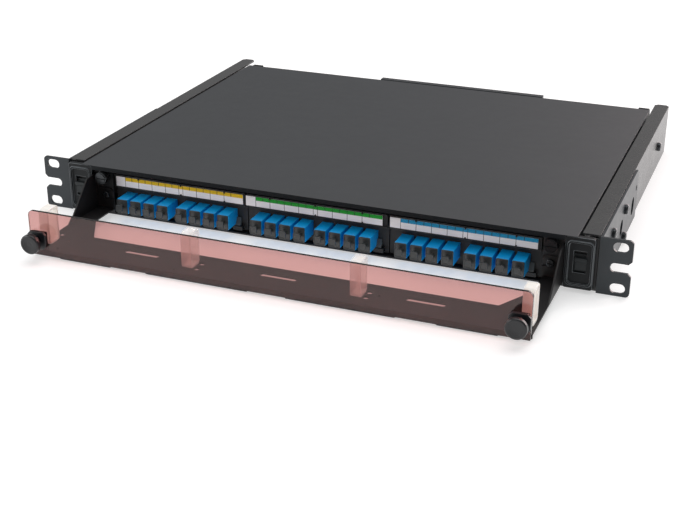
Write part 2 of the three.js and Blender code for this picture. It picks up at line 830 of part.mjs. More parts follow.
const SIDES = { left: -1, right: 1 };
for (const [name, side] of Object.entries(SIDES)) {
  add(`${name}_rail`, rail(side), FINISH.railCoat);
  add(`${name}_rack_ear`, rackEar(side), FINISH.earCoat);
  add(`${name}_runner`, runner(side), FINISH.zincSteel);
  add(`${name}_bezel`, bezel(side), FINISH.blackPlastic);
  add(`${name}_latch_slide`, latchSlide(side), FINISH.blackPlastic);
  add(`${name}_knob`, pullKnob(side), FINISH.knobPlastic);
  add(`${name}_knob_base`, knobBase(side), FINISH.knobPlastic);
}
add('drawer_tray', drawerTray(), FINISH.drawerCoat);
add('top_cover', topCover(), FINISH.coverCoat);
add('fibre_tray', fibreTray(), FINISH.creamMoulding);
add('cable_bracket', cableBracket(), FINISH.coverCoat);

for (let index = 0; index < MODULE.count; index += 1) {
  const number = index + 1;
  add(`module_${number}`, adapterModule(index), FINISH.modulePlate);
  add(`label_strip_${number}`, labelStrip(index), FINISH.paperLabel);
  for (const [letter, groupSide] of [['a', -1], ['b', 1]]) {
    add(`adapters_${number}${letter}`, adapterGroup(index, groupSide), FINISH.bluePlastic);
    adapterOffsets(groupSide).forEach((offset, i) => {
      add(`dust_cap_${number}${letter}${i + 1}`, dustCap(moduleCentre(index) + offset), FINISH.smokePlug);
    });
  }
}

add('cord_tray', cordTray(), FINISH.trayCoat);
RING.xs.forEach((x, i) => add(`cord_ring_${i + 1}`, cordRing(x), FINISH.frostedRing));
add('clear_cover', clearCover(), FINISH.roseAcrylic);

export default box1U;
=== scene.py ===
import logging
import math
from contextlib import contextmanager
from dataclasses import dataclass
from enum import Enum
from typing import Callable, Iterator

import bmesh
import bpy
from mathutils import Matrix, Vector


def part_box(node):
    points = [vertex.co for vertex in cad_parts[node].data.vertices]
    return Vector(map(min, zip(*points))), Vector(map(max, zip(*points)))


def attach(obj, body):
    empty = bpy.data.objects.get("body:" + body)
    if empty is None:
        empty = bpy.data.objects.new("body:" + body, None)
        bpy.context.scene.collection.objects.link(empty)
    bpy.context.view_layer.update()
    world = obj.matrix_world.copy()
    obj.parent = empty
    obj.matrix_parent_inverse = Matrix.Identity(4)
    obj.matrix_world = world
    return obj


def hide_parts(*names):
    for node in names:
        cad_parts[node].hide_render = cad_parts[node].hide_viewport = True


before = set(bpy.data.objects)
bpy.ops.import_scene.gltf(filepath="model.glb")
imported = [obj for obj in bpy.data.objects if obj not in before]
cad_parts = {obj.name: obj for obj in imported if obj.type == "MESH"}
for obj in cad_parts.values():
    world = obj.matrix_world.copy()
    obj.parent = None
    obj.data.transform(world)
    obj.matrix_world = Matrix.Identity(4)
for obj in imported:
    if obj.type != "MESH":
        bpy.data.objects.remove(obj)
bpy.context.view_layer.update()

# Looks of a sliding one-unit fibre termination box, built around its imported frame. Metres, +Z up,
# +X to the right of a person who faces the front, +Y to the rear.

LOG = logging.getLogger("termination_box")
MM = 0.001
Colour = tuple[float, float, float]
Piece = bpy.types.Object
Test = Callable[[Vector, Vector], bool]
BANDS = {1: "yellow", 2: "green", 3: "blue"}


class Side(Enum):
    """The two ends of the box, by the sign of their X."""

    LEFT = -1
    RIGHT = 1

    @property
    def word(self) -> str:
        """The word that node names start with."""
        return self.name.lower()


class Along(Enum):
    """Turns that lay a new cylinder along an axis."""

    X = (0.0, math.pi / 2, 0.0)
    Y = (math.pi / 2, 0.0, 0.0)


# ---------------------------------------------------------------- finishes


class Graph:
    """A material's node tree around one Principled shader."""

    def __init__(self, name: str) -> None:
        """Starts a material with an output and its shader.

        Args:
            name: the material's name.
        """
        self.material = bpy.data.materials.new(name)
        self.material.use_nodes = True
        self.tree = self.material.node_tree
        self.tree.nodes.clear()
        self.output = self.add("ShaderNodeOutputMaterial")
        self.shader = self.add("ShaderNodeBsdfPrincipled")
        self.link(self.shader.outputs["BSDF"], self.output.inputs["Surface"])
        self.place = self.add("ShaderNodeTexCoord").outputs["Object"]

    def add(self, kind: str, **settings: object) -> bpy.types.Node:
        """Adds a node and sets its properties.

        Args:
            kind: the node's type.
            settings: properties of the node by name.

        Returns:
            The new node.
        """
        node = self.tree.nodes.new(kind)
        for key, value in settings.items():
            setattr(node, key, value)
        return node

    def link(self, source: bpy.types.NodeSocket, target: bpy.types.NodeSocket) -> None:
        """Joins an output to an input."""
        self.tree.links.new(source, target)

    def noise(self, per_metre: float, detail: float = 2.0,
              stretch: Colour = (1.0, 1.0, 1.0)) -> bpy.types.NodeSocket:
        """Noise over the piece.

        Args:
            per_metre: how many cells there are in a metre.
            detail: layers of finer noise.
            stretch: scale along each axis.

        Returns:
            The noise's value socket.
        """
        mapping = self.add("ShaderNodeMapping")
        mapping.inputs["Scale"].default_value = stretch
        self.link(self.place, mapping.inputs["Vector"])
        node = self.add("ShaderNodeTexNoise")
        node.inputs["Scale"].default_value = per_metre
        node.inputs["Detail"].default_value = detail
        self.link(mapping.outputs["Vector"], node.inputs["Vector"])
        return node.outputs["Fac"]

    def ranged(self, value: bpy.types.NodeSocket, low: float, high: float) -> bpy.types.NodeSocket:
        """Maps noise from its usual spread to low and high.

        Args:
            value: the noise.
            low: result where the noise is low.
            high: result where it is high.

        Returns:
            The mapped value.
        """
        node = self.add("ShaderNodeMapRange")
        node.inputs["From Min"].default_value = 0.3
        node.inputs["From Max"].default_value = 0.7
        node.inputs["To Min"].default_value = low
        node.inputs["To Max"].default_value = high
        self.link(value, node.inputs["Value"])
        return node.outputs["Result"]

    def mixed(self, share: bpy.types.NodeSocket, first: Colour, second: Colour) -> bpy.types.NodeSocket:
        """Mixes two colours by a share.

        Args:
            share: 0 for the first and 1 for the second.
            first: linear colour.
            second: linear colour.

        Returns:
            The mixed colour.
        """
        node = self.add("ShaderNodeMix", data_type="RGBA")
        colours = [socket for socket in node.inputs if socket.type == "RGBA"]
        colours[0].default_value = (*first, 1.0)
        colours[1].default_value = (*second, 1.0)
        self.link(share, node.inputs["Factor"])
        return next(socket for socket in node.outputs if socket.type == "RGBA")

    def bump(self, height: bpy.types.NodeSocket, depth: float) -> None:
        """Raises the surface by a height map.

        Args:
            height: the height map.
            depth: how deep it is, in metres.
        """
        node = self.add("ShaderNodeBump")
        node.inputs["Distance"].default_value = depth
        node.inputs["Strength"].default_value = 1.0
        self.link(height, node.inputs["Height"])
        self.link(node.outputs["Normal"], self.shader.inputs["Normal"])


def scaled(colour: Colour, share: float) -> Colour:
    """A colour made darker or lighter by a share."""
    return tuple(min(1.0, part * share) for part in colour)


@dataclass(frozen=True)
class Coat:
    """Painted steel or moulded plastic: an even colour that wanders a little, and a fine skin."""

    name: str
    colour: Colour
    roughness: float
    metallic: float = 0.0
    specular: float = 0.5
    clear_coat: float = 0.0
    spread: float = 0.03
    cell: float = 1.1 * MM
    depth: float = 0.014 * MM

    def build(self) -> bpy.types.Material:
        """Makes the material.

        Returns:
            The material.
        """
        graph = Graph(self.name)
        shader = graph.shader.inputs
        cloud = graph.ranged(graph.noise(28.0, 4.0), 0.0, 1.0)
        low, high = scaled(self.colour, 1 - self.spread), scaled(self.colour, 1 + self.spread)
        graph.link(graph.mixed(cloud, low, high), shader["Base Color"])
        smear = graph.noise(90.0, 5.0)
        graph.link(graph.ranged(smear, self.roughness - 0.015, self.roughness + 0.02), shader["Roughness"])
        shader["Metallic"].default_value = self.metallic
        shader["Specular IOR Level"].default_value = self.specular
        shader["Coat Weight"].default_value = self.clear_coat
        shader["Coat Roughness"].default_value = 0.12
        graph.bump(graph.noise(1 / self.cell, 2.0), self.depth)
        return graph.material


@dataclass(frozen=True)
class Zinc:
    """Plated steel with fine marks drawn along its length."""

    name: str = "zinc_plate"
    colour: Colour = (0.42, 0.43, 0.44)

    def build(self) -> bpy.types.Material:
        """Makes the material.

        Returns:
            The material.
        """
        graph = Graph(self.name)
        shader = graph.shader.inputs
        streak = graph.noise(700.0, 4.0, (1.0, 0.04, 1.0))
        bloom = graph.ranged(graph.noise(60.0, 4.0), 0.0, 1.0)
        graph.link(graph.mixed(bloom, scaled(self.colour, 0.8), self.colour), shader["Base Color"])
        graph.link(graph.ranged(streak, 0.26, 0.44), shader["Roughness"])
        shader["Metallic"].default_value = 1.0
        graph.bump(streak, 0.012 * MM)
        return graph.material


@dataclass(frozen=True)
class Card:
    """Printed card: a flat ink or the bare card, with a faint fibre."""

    name: str
    colour: Colour
    ruled: bool = False

    def build(self) -> bpy.types.Material:
        """Makes the material.

        Returns:
            The material.
        """
        graph = Graph(self.name)
        shader = graph.shader.inputs
        stretch = (0.05, 1.0, 1.0) if self.ruled else (1.0, 1.0, 1.0)
        fibre = graph.ranged(graph.noise(1400.0, 3.0, stretch), 0.0, 1.0)
        graph.link(graph.mixed(fibre, scaled(self.colour, 0.92), self.colour), shader["Base Color"])
        graph.link(graph.ranged(graph.noise(500.0), 0.5, 0.68), shader["Roughness"])
        graph.bump(graph.noise(2600.0, 3.0), 0.01 * MM)
        return graph.material


@dataclass(frozen=True)
class Milky:
    """Translucent moulding that lets some light through and blurs it.

    Its faint glow stands for light that comes through from behind.
    """

    name: str = "milky_moulding"
    colour: Colour = (0.86, 0.84, 0.8)
    clear: float = 0.35
    alpha: float = 1.0
    glow: float = 0.16

    def build(self) -> bpy.types.Material:
        """Makes the material.

        Returns:
            The material.
        """
        graph = Graph(self.name)
        shader = graph.shader.inputs
        cloud = graph.ranged(graph.noise(160.0, 3.0), 0.0, 1.0)
        graph.link(graph.mixed(cloud, scaled(self.colour, 0.93), self.colour), shader["Base Color"])
        graph.link(graph.ranged(graph.noise(300.0), 0.32, 0.46), shader["Roughness"])
        shader["Transmission Weight"].default_value = self.clear
        shader["Alpha"].default_value = self.alpha
        shader["Emission Color"].default_value = (*self.colour, 1.0)
        shader["Emission Strength"].default_value = self.glow
        shader["IOR"].default_value = 1.46
        shader["Subsurface Weight"].default_value = 0.35
        shader["Subsurface Radius"].default_value = (0.004, 0.0035, 0.003)
        shader["Subsurface Scale"].default_value = 1.0
        graph.bump(graph.noise(900.0), 0.008 * MM)
        return graph.material


@dataclass(frozen=True)
class Acrylic:
    """Polished tinted sheet: lamps shine through it, so what is behind stays lit."""

    name: str
    tint: Colour
    roughness: float = 0.0

    def build(self) -> bpy.types.Material:
        """Makes the material.

        Returns:
            The material.
        """
        graph = Graph(self.name)
        shader = graph.shader.inputs
        cloud = graph.ranged(graph.noise(12.0, 2.0), 0.0, 1.0)
        tints = scaled(self.tint, 0.96), scaled(self.tint, 1.04)
        graph.link(graph.mixed(cloud, *tints), shader["Base Color"])
        graph.link(graph.ranged(graph.noise(140.0, 4.0), self.roughness, self.roughness + 0.01),
                   shader["Roughness"])
        shader["Transmission Weight"].default_value = 1.0
        shader["IOR"].default_value = 1.49
        clear = graph.add("ShaderNodeBsdfTransparent")
        clear.inputs["Color"].default_value = (*tuple(math.sqrt(part) for part in self.tint), 1.0)
        rays = graph.add("ShaderNodeLightPath")
        chosen = graph.add("ShaderNodeMixShader")
        graph.link(rays.outputs["Is Shadow Ray"], chosen.inputs["Fac"])
        graph.link(graph.shader.outputs["BSDF"], chosen.inputs[1])
        graph.link(clear.outputs["BSDF"], chosen.inputs[2])
        graph.link(chosen.outputs["Shader"], graph.output.inputs["Surface"])
        return graph.material


class Palette:
    """Every finish of the box, made when it is first asked for."""

    FINISHES = {
        "cover": Coat("cover_powder_coat", (0.036, 0.04, 0.044), 0.52, specular=0.4),
        "rail": Coat("rail_powder_coat", (0.036, 0.037, 0.038), 0.27, specular=0.6),
        "ear": Coat("ear_powder_coat", (0.02, 0.026, 0.031), 0.32, specular=0.4),
        "drawer": Coat("drawer_powder_coat", (0.014, 0.015, 0.016), 0.5),
        "tray": Coat("tray_powder_coat", (0.009, 0.008, 0.0085), 0.46, specular=0.35),
        # Darker copy of the cover's coat for the cover's forward faces: painted shade.
        "lip": Coat("lip_painted_shade_coat", (0.009, 0.011, 0.013), 0.55, specular=0.15),
        "button": Coat("button_plastic", (0.022, 0.026, 0.028), 0.5, specular=0.3, cell=0.5 * MM),
        # Lighter, glossier finish of rounded sheet edges: painted highlight along the edges, partly rubbed
        # wear.
        "edge": Coat("edge_wear_and_highlight", (0.05, 0.053, 0.056), 0.36),
        "module": Coat("module_black", (0.008, 0.009, 0.01), 0.5),
        "catch": Coat("catch_grey", (0.09, 0.1, 0.1), 0.5),
        "bezel": Coat("bezel_plastic", (0.009, 0.011, 0.0125), 0.5, specular=0.25, cell=0.5 * MM),
        # Lighter finish of the bezel's rounded edges and ring: painted highlight.
        "bezel_edge_highlight": Coat("bezel_edge_highlight", (0.11, 0.125, 0.135), 0.34, cell=0.5 * MM),
        "adapter": Coat("adapter_blue", (0.0, 0.34, 0.78), 0.34, cell=0.6 * MM, depth=0.008 * MM),
        "cap": Coat("cap_smoke", (0.035, 0.04, 0.042), 0.34, clear_coat=0.3, cell=0.7 * MM),
        "knob": Coat("knob_black", (0.005, 0.006, 0.008), 0.34, clear_coat=0.12, cell=2.0 * MM,
                     depth=0.006 * MM),
        "screw": Coat("black_screw", (0.05, 0.054, 0.058), 0.22, metallic=0.75, cell=0.6 * MM),
        "moulding": Coat("tray_moulding", (0.66, 0.65, 0.6), 0.42, spread=0.04),
        "zinc": Zinc(),
        "card": Card("label_card", (0.95, 0.94, 0.95), ruled=True),
        "ink": Card("label_ink", (0.01, 0.01, 0.012)),
        "yellow": Card("label_yellow", (0.8, 0.53, 0.0)),
        "green": Card("label_green", (0.0, 0.36, 0.02)),
        "blue": Card("label_blue", (0.0, 0.3, 0.55)),
        "milky": Milky(clear=0.1, alpha=0.9),
        "clear": Milky("clear_moulding", (0.95, 0.93, 0.9), 0.3, 0.42),
        "acrylic": Acrylic("rose_acrylic", (0.6, 0.31, 0.29)),
        "acrylic_edge": Acrylic("rose_acrylic_edge", (0.34, 0.2, 0.195), 0.12),
    }
    _made: dict[str, bpy.types.Material] = {}

    @classmethod
    def get(cls, key: str) -> bpy.types.Material:
        """The material for a finish.

        Args:
            key: the finish's name in FINISHES.

        Returns:
            The material, the same one each time.
        """
        if key not in cls._made:
            cls._made[key] = cls.FINISHES[key].build()
        return cls._made[key]


# ---------------------------------------------------------------- bench


class Bench:
    """Mesh work as done by hand: start from a primitive, shape it in edit mode, finish it."""

    @staticmethod
    def pick(*pieces: Piece) -> None:
        """Selects only these pieces and makes the first active.

        Args:
            pieces: the pieces to select.
        """
        bpy.ops.object.select_all(action="DESELECT")
        for piece in pieces:
            piece.select_set(True)
        bpy.context.view_layer.objects.active = pieces[0]

    @staticmethod
    def settle(name: str) -> Piece:
        """Names the new primitive and moves its place into its mesh.

        Args:
            name: the piece's name.

        Returns:
            The piece, with its object at the origin.
        """
        piece = bpy.context.active_object
        piece.name = name
        piece.data.name = name
        bpy.ops.object.transform_apply(location=True, rotation=True, scale=True)
        return piece

    @classmethod
    def block(cls, name: str, low: Vector, high: Vector) -> Piece:
        """A box between two corners.

        Args:
            name: the piece's name.
            low: lowest corner.
            high: highest corner.

        Returns:
            The box.
        """
        bpy.ops.object.select_all(action="DESELECT")
        bpy.ops.mesh.primitive_cube_add(size=1.0, location=(low + high) / 2, scale=high - low)
        return cls.settle(name)

    @classmethod
    def rod(cls, name: str, centre: Vector, radius: float, length: float, along: Along,
            sides: int = 40) -> Piece:
        """A cylinder along an axis.

        Args:
            name: the piece's name.
            centre: its middle.
            radius: its radius.
            length: its length.
            along: the axis that it lies along.
            sides: how many sides it has.

        Returns:
            The cylinder.
        """
        bpy.ops.object.select_all(action="DESELECT")
        bpy.ops.mesh.primitive_cylinder_add(
            vertices=sides, radius=radius, depth=length, location=centre, rotation=along.value)
        return cls.settle(name)

    @classmethod
    @contextmanager
    def shaping(cls, piece: Piece, kind: str = "FACE") -> Iterator[None]:
        """Edit mode on one piece, with nothing selected at the start.

        Args:
            piece: the piece to shape.
            kind: FACE, EDGE or VERT.
        """
        cls.pick(piece)
        bpy.ops.object.mode_set(mode="EDIT")
        bpy.ops.mesh.select_mode(type=kind)
        bpy.ops.mesh.select_all(action="DESELECT")
        try:
            yield
        finally:
            bpy.ops.object.mode_set(mode="OBJECT")

    @staticmethod
    def choose(test: Test, kind: str = "FACE") -> None:
        """Selects faces by middle and normal, or edges by middle and direction.

        Args:
            test: says of a middle and a direction whether it is chosen.
            kind: FACE or EDGE.
        """
        mesh = bpy.context.edit_object.data
        cage = bmesh.from_edit_mesh(mesh)
        if kind == "FACE":
            for face in cage.faces:
                face.select_set(test(face.calc_center_median(), face.normal))
        else:
            for edge in cage.edges:
                first, second = (corner.co for corner in edge.verts)
                edge.select_set(test((first + second) / 2, (second - first).normalized()))
        bmesh.update_edit_mesh(mesh)

    @classmethod
    def round_edges(cls, piece: Piece, axis: Vector, radius: float, segments: int = 4,
                    where: Callable[[Vector], bool] = lambda middle: True) -> None:
        """Rounds the edges that run along an axis.

        Args:
            piece: the piece.
            axis: the edges' direction.
            radius: the round's radius.
            segments: steps in the round.
            where: says of an edge's middle whether it is rounded.
        """
        with cls.shaping(piece, "EDGE"):
            cls.choose(lambda middle, run: abs(run.dot(axis)) > 0.99 and where(middle), "EDGE")
            bpy.ops.mesh.bevel(offset=radius, segments=segments, affect="EDGES")

    @classmethod
    def step_face(cls, piece: Piece, test: Test, inset: float, push: Vector) -> None:
        """Insets the chosen faces and pushes what is left in or out.

        Args:
            piece: the piece.
            test: chooses faces by middle and normal.
            inset: how far the outline comes in.
            push: how far the inner face is moved.
        """
        with cls.shaping(piece):
            cls.choose(test)
            if inset:
                bpy.ops.mesh.inset(thickness=inset, depth=0.0)
            bpy.ops.mesh.extrude_region_move(TRANSFORM_OT_translate={"value": push})

    @classmethod
    def fuse(cls, base: Piece, others: list[Piece], operation: str = "UNION") -> None:
        """Joins other pieces to a base, or cuts them from it, and removes them.

        Args:
            base: the piece that stays.
            others: the pieces that are used up.
            operation: UNION or DIFFERENCE.
        """
        for other in others:
            cls.pick(base)
            change = base.modifiers.new("change", "BOOLEAN")
            change.operation = operation
            change.solver = "EXACT"
            change.object = other
            bpy.ops.object.modifier_apply(modifier=change.name)
            bpy.data.objects.remove(other)

    @classmethod
    def soften(cls, piece: Piece, width: float, segments: int = 2, angle: float = 35.0,
               edge_slot: int = -1) -> None:
        """Rounds all sharp edges by a modifier.

        Args:
            piece: the piece.
            width: width of the round.
            segments: steps in the round.
            angle: edges sharper than this are rounded, in degrees.
            edge_slot: material index for the rounds, or -1 to keep their neighbours'.
        """
        cls.pick(piece)
        rounding = piece.modifiers.new("rounding", "BEVEL")
        rounding.width = width
        rounding.segments = segments
        rounding.limit_method = "ANGLE"
        rounding.angle_limit = math.radians(angle)
        rounding.material = edge_slot
        bpy.ops.object.modifier_apply(modifier=rounding.name)

    @classmethod
    def smooth(cls, piece: Piece, angle: float = 40.0) -> None:
        """Shades smooth over gentle edges and evens the normals of large faces.

        Args:
            piece: the piece.
            angle: edges sharper than this stay sharp, in degrees.
        """
        cls.pick(piece)
        bpy.ops.object.shade_smooth_by_angle(angle=math.radians(angle))
        even = piece.modifiers.new("even", "WEIGHTED_NORMAL")
        even.keep_sharp = True
        bpy.ops.object.modifier_apply(modifier=even.name)

    @classmethod
    def welded_copy(cls, node: str, name: str) -> Piece:
        """A copy of a CAD node with its corners welded and its flat faces whole.

        Args:
            node: the CAD node.
            name: the copy's name.

        Returns:
            The copy.
        """
        piece = bpy.data.objects.new(name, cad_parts[node].data.copy())
        piece.data.name = name
        piece.data.materials.clear()
        bpy.context.scene.collection.objects.link(piece)
        with cls.shaping(piece, "VERT"):
            bpy.ops.mesh.select_all(action="SELECT")
            bpy.ops.mesh.customdata_custom_splitnormals_clear()
            bpy.ops.mesh.remove_doubles(threshold=0.002 * MM)
            bpy.ops.mesh.dissolve_limited(angle_limit=math.radians(1.0))
        return piece

    @staticmethod
    def copy_of(piece: Piece, name: str, offset: Vector) -> Piece:
        """A copy with its own mesh, moved by an offset.

        Args:
            piece: the piece to copy.
            name: the copy's name.
            offset: how far the copy is moved.

        Returns:
            The copy.
        """
        twin = bpy.data.objects.new(name, piece.data.copy())
        twin.data.name = name
        bpy.context.scene.collection.objects.link(twin)
        twin.data.transform(Matrix.Translation(offset))
        return twin

    @classmethod
    def joined(cls, pieces: list[Piece]) -> Piece:
        """Several pieces as one object of separate shells.

        Args:
            pieces: the pieces to join.

        Returns:
            The first piece, which now holds them all.
        """
        cls.pick(*pieces)
        bpy.ops.object.join()
        return pieces[0]

    @staticmethod
    def dress(piece: Piece, *keys: str) -> None:
        """Gives a piece its materials.

        Args:
            piece: the piece.
            keys: names of its finishes, in the order of its slots.
        """
        piece.data.materials.clear()
        for key in keys:
            piece.data.materials.append(Palette.get(key))

    @staticmethod
    def fit(piece: Piece, body: str, slot: str, *nodes: str) -> None:
        """Puts a finished piece on its body.

        Args:
            piece: the finished piece.
            body: the body that it moves with.
            slot: the record's material slot; not used.
            nodes: CAD nodes that it stands for.
        """
        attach(piece, body)
        if nodes:
            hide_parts(*nodes)
        LOG.info("%s on %s, %d faces", piece.name, body, len(piece.data.polygons))


# ---------------------------------------------------------------- sub-assemblies


@dataclass
class SheetWork:
    """Folded sheet parts that keep the frame's shape and get rounded edges in a lighter finish: painted
    highlight along the edges, partly rubbed wear.
    """

    fold: float = 0.35 * MM

    def shell(self, node: str, body: str, slot: str, finish: str, width: float | None = None,
              front: str | None = None) -> None:
        """One sheet part.

        Args:
            node: the CAD node that it stands for.
            body: the body that it moves with.
            slot: the record's material slot.
            finish: the finish of its faces.
            width: width of its rounded edges.
            front: finish of the faces that look forward, where it is another one; the top cover's is a
                darker copy of its own coat, painted shade on its front.
        """
        piece = Bench.welded_copy(node, f"{node}_shell")
        # The rounds take the lighter edge finish: painted highlight along every edge, partly rubbed wear.
        Bench.dress(piece, finish, "edge", *([front] if front else []))
        Bench.soften(piece, width or self.fold, edge_slot=1)
        # Forward faces take the front finish; on the top cover this darker coat is painted shade.
        if front:
            for face in piece.data.polygons:
                if face.normal.y < -0.5:
                    face.material_index = 2
        Bench.smooth(piece)
        Bench.fit(piece, body, slot, node)

    def build(self) -> None:
        """Makes every sheet part of the rails, the drawer, the modules and the cord tray."""
        for side in Side:
            self.shell(f"{side.word}_rail", "rails", "rail_coat", "rail")
            self.shell(f"{side.word}_rack_ear", "rails", "ear_coat", "ear")
            self.shell(f"{side.word}_runner", "drawer", "zinc_steel", "zinc", 0.2 * MM)
        # The cover's forward faces get the darker lip coat: painted shade.
        self.shell("top_cover", "drawer", "cover_coat", "cover", 0.5 * MM, "lip")
        self.shell("drawer_tray", "drawer", "drawer_coat", "drawer", 0.25 * MM)
        self.shell("cable_bracket", "drawer", "cover_coat", "cover")
        self.shell("fibre_tray", "drawer", "tray_moulding", "moulding", 0.3 * MM)
        self.shell("cord_tray", "cord_tray", "tray_coat", "tray")
        for number in BANDS:
            self.shell(f"module_{number}", f"module_{number}", "module_coat", "module", 0.2 * MM)


@dataclass
class Bezel:
    """Plastic end piece of the drawer with a raised ring and a release button in its window."""

    side: Side
    corner: float = 1.8 * MM
    ear_gap: float = 2.0 * MM
    ring_low: Vector = Vector((195.4 * MM, 0, 5.1 * MM))
    ring_high: Vector = Vector((214.6 * MM, 0, 39.7 * MM))
    ring_round: float = 3.6 * MM
    band: float = 1.5 * MM
    recess: float = 1.8 * MM
    window_half: float = 4.65 * MM
    window_bottom: float = 15.0 * MM
    window_top: float = 31.7 * MM

    def build(self) -> None:
        """Makes the bezel and the button."""
        self.plate()
        self.button()

    def plate(self) -> None:
        """The end piece itself."""
        word, sign = self.side.word, self.side.value
        low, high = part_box(f"{word}_bezel")
        ring_front = low.y
        face = ring_front + 1.0 * MM
        axis = Vector((0, 1, 0))
        (low if sign < 0 else high).x -= sign * self.ear_gap
        plate = Bench.block(f"{word}_bezel_moulding", Vector((low.x, face, low.z)), high)
        Bench.round_edges(plate, axis, self.corner, 5)
        across = sorted((sign * self.ring_low.x, sign * self.ring_high.x))
        ring = Bench.block("ring", Vector((across[0], ring_front, self.ring_low.z)),
                           Vector((across[1], face + 0.6 * MM, self.ring_high.z)))
        Bench.round_edges(ring, axis, self.ring_round, 7)
        Bench.fuse(plate, [ring])
        grow = Vector((self.band, 0, self.band))
        dish = Bench.block("dish", Vector((across[0], ring_front - 1 * MM, self.ring_low.z)) + grow,
                           Vector((across[1], ring_front + self.recess, self.ring_high.z)) - grow)
        Bench.round_edges(dish, axis, self.ring_round - 0.8 * MM, 6)
        centre = (across[0] + across[1]) / 2
        window = Bench.block(
            "window", Vector((centre - self.window_half, ring_front - 1 * MM, self.window_bottom)),
            Vector((centre + self.window_half, high.y + 1 * MM, self.window_top)))
        latch_low, latch_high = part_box(f"{word}_latch_slide")
        room = 0.3 * MM
        pocket = Bench.block(
            "pocket", Vector((latch_low.x - room, high.y - 1.6 * MM, latch_low.z - 2 * MM)),
            Vector((latch_high.x + room, high.y + 1 * MM, latch_high.z + 6 * MM)))
        Bench.fuse(plate, [dish, window, pocket], "DIFFERENCE")
        # The bezel's rounds take the lighter edge finish: painted highlight on its ring and corners.
        Bench.dress(plate, "bezel", "bezel_edge_highlight")
        Bench.soften(plate, 0.3 * MM, 3, 50.0, 1)
        Bench.smooth(plate)
        Bench.fit(plate, "drawer", "bezel_plastic", f"{word}_bezel")

    def button(self) -> None:
        """The button that slides in the window, with its finger ridge."""
        word = self.side.word
        button = Bench.welded_copy(f"{word}_latch_slide", f"{word}_latch_button")
        Bench.dress(button, "button", "button")
        Bench.soften(button, 0.35 * MM, 3, 35.0, 1)
        Bench.smooth(button)
        Bench.fit(button, f"{word}_latch", "bezel_plastic", f"{word}_latch_slide")


@dataclass
class AdapterBanks:
    """Banks of four blue adapters on one flange, their sockets open to the front."""

    pitch: float = 12.1 * MM
    width: float = 9.5 * MM
    wall: float = 1.05 * MM
    socket: float = 14.0 * MM
    lift: float = 0.05 * MM
    flange_margin: float = 1.1 * MM
    flange_back: float = 5.8 * MM
    flange_thick: float = 1.5 * MM

    def build(self) -> None:
        """Makes one bank and copies it to both places in every module."""
        pattern = self.model()
        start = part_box("adapters_1a")[0]
        for number in BANDS:
            for letter in "ab":
                node = f"adapters_{number}{letter}"
                bank = Bench.copy_of(pattern, f"{node}_bank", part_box(node)[0] - start)
                Bench.fit(bank, f"module_{number}", "adapter_blue", node)
        bpy.data.objects.remove(pattern)

    def model(self) -> Piece:
        """The bank that the others are copied from.

        Returns:
            The finished bank, in the first module's left place.
        """
        low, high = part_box("adapters_1a")
        cap_low, cap_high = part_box("dust_cap_1a1")
        first_x = low.x + self.flange_margin
        body = Bench.block("bank_pattern", Vector((first_x, low.y, cap_low.z + self.lift)),
                           Vector((first_x + self.width, high.y, cap_high.z + self.lift)))
        Bench.step_face(body, lambda middle, normal: normal.y < -0.9, self.wall,
                        Vector((0, self.socket, 0)))
        Bench.soften(body, 0.35 * MM, 3)
        twins = [Bench.copy_of(body, "twin", Vector((i * self.pitch, 0, 0))) for i in (1, 2, 3)]
        flange_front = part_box("module_1")[0].y + self.flange_back
        flange = Bench.block("flange", Vector((low.x, flange_front, low.z)),
                             Vector((high.x, flange_front + self.flange_thick, high.z)))
        Bench.round_edges(flange, Vector((0, 1, 0)), 1.0 * MM, 3)
        Bench.fuse(body, [*twins, flange])
        Bench.dress(body, "adapter")
        Bench.smooth(body)
        return body


